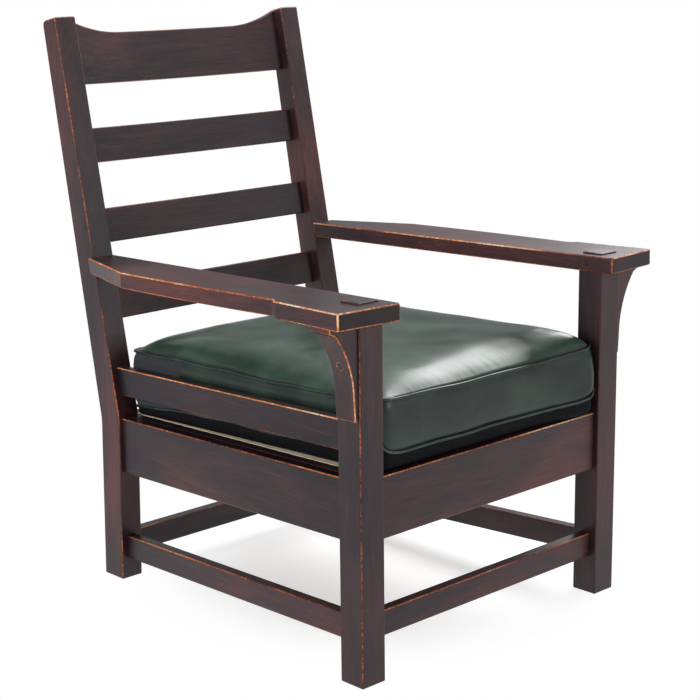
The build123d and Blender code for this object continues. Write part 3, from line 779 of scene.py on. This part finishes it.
def green_leather(name, gloss, creased, shades, boxing_painted_shade_tones):
    """The leather, with its roughness, with creases on the top panel or not, and with the dark,
    middle and light shade of the top panel and of the boxing. The boxing's darker shades and
    its weaker sheen are painted shade, chosen by how far a face looks up."""
    leather = new_material(name)
    place = add(leather, "TexCoord").outputs["Object"]
    cloud = add(
        leather,
        "TexNoise",
        {"Vector": place, "Scale": 1 / LEATHER_CLOUD, "Detail": 4.0, "Roughness": 0.6},
    )
    pebble = add(
        leather,
        "TexVoronoi",
        {"Vector": place, "Scale": 1 / LEATHER_PEBBLE},
        feature="SMOOTH_F1",
    )
    facing = add(leather, "NewGeometry").outputs["Normal"]
    facing = add(leather, "SeparateXYZ", {0: facing}).outputs
    topside = add(
        leather,
        "MapRange",
        {"Value": facing[2], "From Min": 0.3, "From Max": 0.6},
        interpolation_type="SMOOTHSTEP",
    )
    # Painted shade: the boxing takes darker shades than the top panel, by how far a face looks up.
    boxing_painted_shade_colour, top_colour = (
        add(leather, "ValToRGB", {"Fac": cloud}, stops=list(zip((0.35, 0.5, 0.68), tones)))
        for tones in (boxing_painted_shade_tones, shades)
    )
    colour = add(
        leather, "Mix", {"Factor": topside, "A": boxing_painted_shade_colour, "B": top_colour}, data_type="RGBA"
    )
    relief = add(leather, "Bump", {"Height": pebble, "Strength": 0.10, "Distance": 0.4 * MM})
    if creased:
        here = add(leather, "SeparateXYZ", {0: place}).outputs
        drawn = add(
            leather, "Mapping", {"Vector": place, "Scale": (1, CREASE_ALONG, CREASE_ALONG)}
        )
        crease = add(
            leather, "TexNoise", {"Vector": drawn, "Scale": 1 / LEATHER_CREASE, "Detail": 3.0}
        )
        near_front = add(
            leather,
            "MapRange",
            {
                "Value": here[1],
                "From Min": cushion_front + CREASE_REACH,
                "From Max": cushion_front + 0.2 * CREASE_REACH,
            },
            interpolation_type="SMOOTHSTEP",
        )
        near_front = add(leather, "Math", {0: near_front, 1: topside}, operation="MULTIPLY")
        creases = add(leather, "Math", {0: crease, 1: near_front}, operation="MULTIPLY")
        relief = add(
            leather,
            "Bump",
            {"Height": creases, "Strength": 0.35, "Distance": 1.2 * MM, "Normal": relief},
        )
    rough = add(leather, "Math", {0: cloud, 1: 0.12, 2: gloss}, operation="MULTIPLY_ADD")
    # Painted shade as well: the boxing reflects less than the top panel.
    painted_shade_sheen = add(leather, "Math", {0: topside, 1: 0.13, 2: 0.3}, operation="MULTIPLY_ADD")
    shader = add(
        leather,
        "BsdfPrincipled",
        {
            "Base Color": colour,
            "Roughness": rough,
            "Normal": relief,
            "IOR": LEATHER_IOR,
            "Specular IOR Level": painted_shade_sheen,
        },
    )
    add(leather, "OutputMaterial", {"Surface": shader})
    return leather


cover_leather = green_leather(
    "green_leather",
    gloss=0.24,
    creased=True,
    shades=("#283d31", "#34493c", "#415c4e"),
    # the boxing's darker shades are painted shade
    boxing_painted_shade_tones=("#1a2520", "#212e28", "#2b3a32"),
)
cushion_mesh.materials.append(cover_leather)

# Black cotton is a plain weave, charcoal with a blue cast and a matt nap. Its thread is drawn
# coarser than the real 0.4 mm, so that it shows.
CLOTH_THREAD = 1.6 * MM
cotton = new_material("black_cotton")
cotton_place = add(cotton, "TexCoord").outputs["Object"]
nap = add(cotton, "TexNoise", {"Vector": cotton_place, "Scale": 1 / CLOTH_THREAD, "Detail": 3.0})
cotton_relief = add(cotton, "Bump", {"Height": nap, "Strength": 0.5, "Distance": 0.6 * MM})
cotton_shader = add(
    cotton,
    "BsdfPrincipled",
    {
        "Base Color": add(
            cotton, "ValToRGB", {"Fac": nap}, stops=((0.3, "#14151b"), (0.7, "#2c2e38"))
        ),
        "Roughness": 0.95,
        "Sheen Weight": 0.3,
        "Normal": cotton_relief,
    },
)
add(cotton, "OutputMaterial", {"Surface": cotton_shader})
cushion_mesh.materials.append(cotton)

# Black cambric is a thin, glazed lining cloth under the cushion, painted near-black as the seat's
# shade.
underside_cloth_painted_shade = new_material("black_cambric_painted_shade")
cambric_place = add(underside_cloth_painted_shade, "TexCoord").outputs["Object"]
weave = add(underside_cloth_painted_shade, "TexNoise", {"Vector": cambric_place, "Scale": 1 / CLOTH_THREAD})
cambric_shader = add(
    underside_cloth_painted_shade,
    "BsdfPrincipled",
    {
        "Base Color": add(
            underside_cloth_painted_shade, "ValToRGB", {"Fac": weave}, stops=((0.3, "#060609"), (0.7, "#0e0e13"))
        ),
        "Roughness": 0.8,
        "Specular IOR Level": 0.15,
    },
)
add(underside_cloth_painted_shade, "OutputMaterial", {"Surface": cambric_shader})
cushion_mesh.materials.append(underside_cloth_painted_shade)

cotton_start = posts_front + 515 * MM
for polygon in cushion_mesh.polygons:
    corner_levels = [levels[i] for i in polygon.vertices]
    if min(corner_levels) < LOWER_SEAM:
        # the underside's near-black cloth is painted shade
        polygon.material_index = 2
    elif max(corner_levels) <= UPPER_SEAM and polygon.center.y > cotton_start:
        polygon.material_index = 1

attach(cushion, "loose_cushion")
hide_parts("cushion")


# Piping: a cord wrapped in the same leather and sewn into both seams of the cushion. Its
# tight round makes a thin bright line along each seam, with a dark groove beside it.
piping_radius = 2.4 * MM
piping_out = 0.6 * MM  # beyond the line of the boxing at the seam
piping_lift = 0.5 * MM  # away from the boxing, up or down
piping_leather = green_leather(
    "green_leather_piping",
    gloss=0.12,
    creased=False,
    shades=("#202c26", "#2c3932", "#3a4940"),
    # the boxing's darker shades are painted shade
    boxing_painted_shade_tones=("#1c2722", "#26322c", "#33403a"),
)
for name, seam, lift in (
    ("upper_piping", UPPER_SEAM, piping_lift),
    ("lower_piping", LOWER_SEAM, -piping_lift),
):
    # It follows the seam's own vertices round the cushion.
    on_seam = {i for i, value in enumerate(levels) if value == seam}
    beside = {i: [] for i in on_seam}
    for edge in cushion_mesh.edges:
        a, b = edge.vertices
        if a in on_seam and b in on_seam:
            beside[a].append(b)
            beside[b].append(a)
    path = [min(on_seam)]
    before = None
    while True:
        onward = [i for i in beside[path[-1]] if i != before]
        before = path[-1]
        if onward[0] == path[0] or len(path) > len(on_seam):
            break
        path.append(onward[0])
    curve = bpy.data.curves.new(name, "CURVE")
    curve.dimensions = "3D"
    curve.bevel_depth = piping_radius
    curve.bevel_resolution = 3
    spline = curve.splines.new("NURBS")
    spline.points.add(len(path) - 1)
    middle = Vector((0, cushion_front + cushion_length / 2, 0))
    for point, index in zip(spline.points, path):
        place = cushion_mesh.vertices[index].co
        away = ((place - middle) * Vector((1, 1, 0))).normalized()
        place = place + away * (seam_pinch + piping_out) + Vector((0, 0, lift))
        point.co = (*place, 1.0)
    spline.use_cyclic_u = True
    spline.order_u = 3
    source = bpy.data.objects.new(name, curve)
    bpy.context.scene.collection.objects.link(source)
    depsgraph = bpy.context.evaluated_depsgraph_get()
    mesh = bpy.data.meshes.new_from_object(source.evaluated_get(depsgraph))
    bpy.data.objects.remove(source)
    mesh.materials.clear()
    mesh.materials.append(piping_leather)
    for polygon in mesh.polygons:
        polygon.use_smooth = True
    piping = bpy.data.objects.new(name, mesh)
    bpy.context.scene.collection.objects.link(piping)
    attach(piping, "loose_cushion")


# Floor: matt white studio paper under the chair. The camera and the reflections see it
# whiter than its light alone makes it, and pure white further off, so only the chair's soft
# shadows stay on it.
PAPER_LIFT = 0.39
PAPER_CENTRE = (0.12, -0.02, 0.0)  # the darkest place under the seat
PAPER_NEAR = 150 * MM
PAPER_FAR = 500 * MM
sheet = bmesh.new()
bmesh.ops.create_grid(sheet, x_segments=1, y_segments=1, size=12.0)
floor_mesh = bpy.data.meshes.new("floor")
sheet.to_mesh(floor_mesh)
floor = bpy.data.objects.new("floor", floor_mesh)
bpy.context.scene.collection.objects.link(floor)
paper = new_material("white_paper")
rays = add(paper, "LightPath").outputs
seen = add(
    paper, "Math", {0: rays["Is Glossy Ray"], 1: rays["Is Transmission Ray"]}, operation="MAXIMUM"
)
seen = add(paper, "Math", {0: rays["Is Camera Ray"], 1: seen}, operation="MAXIMUM")
paper_shader = add(
    paper, "BsdfPrincipled", {"Base Color": "#f0f0f1", "Roughness": 0.9, "Specular IOR Level": 0.1}
)
lifted = add(paper, "Math", {0: seen, 1: PAPER_LIFT}, operation="MULTIPLY")
paper_lift = add(paper, "Emission", {"Color": "#ffffff", "Strength": lifted})
paper_lit = add(paper, "AddShader", {0: paper_shader, 1: paper_lift})
paper_white = add(paper, "Emission", {"Color": "#ffffff", "Strength": 1.0})
paper_place = add(paper, "TexCoord").outputs["Object"]
distance = add(paper, "VectorMath", {0: paper_place, 1: PAPER_CENTRE}, operation="DISTANCE")
far_off = add(
    paper,
    "MapRange",
    {"Value": distance.outputs["Value"], "From Min": PAPER_NEAR, "From Max": PAPER_FAR},
    interpolation_type="SMOOTHSTEP",
)
far_off = add(paper, "Math", {0: seen, 1: far_off}, operation="MULTIPLY")
paper_mix = add(paper, "MixShader", {0: far_off, 1: paper_lit, 2: paper_white})
add(paper, "OutputMaterial", {"Surface": paper_mix})
floor_mesh.materials.append(paper)


# Studio light: a white room, a large soft box high at the sitter's left, which makes the
# cushion's highlight, and weaker ones above, behind, in front and at the sitter's right.
world = bpy.data.worlds.new("studio")
bpy.context.scene.world = world
world.use_nodes = True
world.node_tree.nodes.clear()
rays = add(world, "LightPath").outputs
room = add(world, "Background", {"Color": "#f4f6fa", "Strength": 0.47})
backdrop = add(world, "Background", {"Color": "#ffffff", "Strength": 1.0})
shown = add(
    world, "Math", {0: rays["Is Camera Ray"], 1: rays["Is Transmission Ray"]}, operation="MAXIMUM"
)
world_mix = add(world, "MixShader", {0: shown, 1: room, 2: backdrop})
add(world, "OutputWorld", {"Surface": world_mix})

seat_middle = (0.0, 0.0, 0.45)
for name, place, size, watts, look_at in (
    ("key_box", (2.5, 0.3, 2.1), (2.2, 1.4), 82, seat_middle),
    ("rear_box", (0.9, 2.6, 2.3), (2.4, 1.8), 7, seat_middle),
    ("top_box", (1.1, 0.6, 3.1), (1.4, 1.4), 24, seat_middle),
    ("front_box", (1.3, -3.2, 1.2), (1.2, 1.2), 24, (0.0, 0.3, 0.9)),
    ("left_box", (-3.0, 0.5, 1.2), (1.2, 1.2), 50, seat_middle),
):
    lamp = bpy.data.lights.new(name, "AREA")
    lamp.shape = "RECTANGLE"
    lamp.size, lamp.size_y = size
    lamp.energy = watts
    holder = bpy.data.objects.new(name, lamp)
    holder.location = place
    away = Vector(place) - Vector(look_at)
    holder.rotation_euler = away.to_track_quat("Z", "Y").to_euler()
    bpy.context.scene.collection.objects.link(holder)


# Camera: it stands where the photograph was taken from, ahead of the sitter's right side and
# above the arms. Its place is counted from the front faces of the front posts.
camera_place = Vector((-2.0385, posts_front - 1.8038, 1.1319))
camera_yaw = math.radians(43.4286)
camera_pitch = math.radians(-13.2119)
camera_roll = math.radians(-0.6879)
focal_pixels = 1723.285
picture_pixels = 700
sensor_mm = 36
lens = bpy.data.cameras.new("camera")
lens.sensor_width = sensor_mm
lens.lens = focal_pixels / picture_pixels * sensor_mm
camera = bpy.data.objects.new("camera", lens)
camera.matrix_world = (
    Matrix.Translation(camera_place)
    @ Matrix.Rotation(-camera_yaw, 4, "Z")
    @ Matrix.Rotation(math.pi / 2 + camera_pitch, 4, "X")
    @ Matrix.Rotation(camera_roll, 4, "Z")
)
bpy.context.scene.collection.objects.link(camera)
bpy.context.scene.camera = camera
bpy.context.scene.view_settings.view_transform = "Standard"
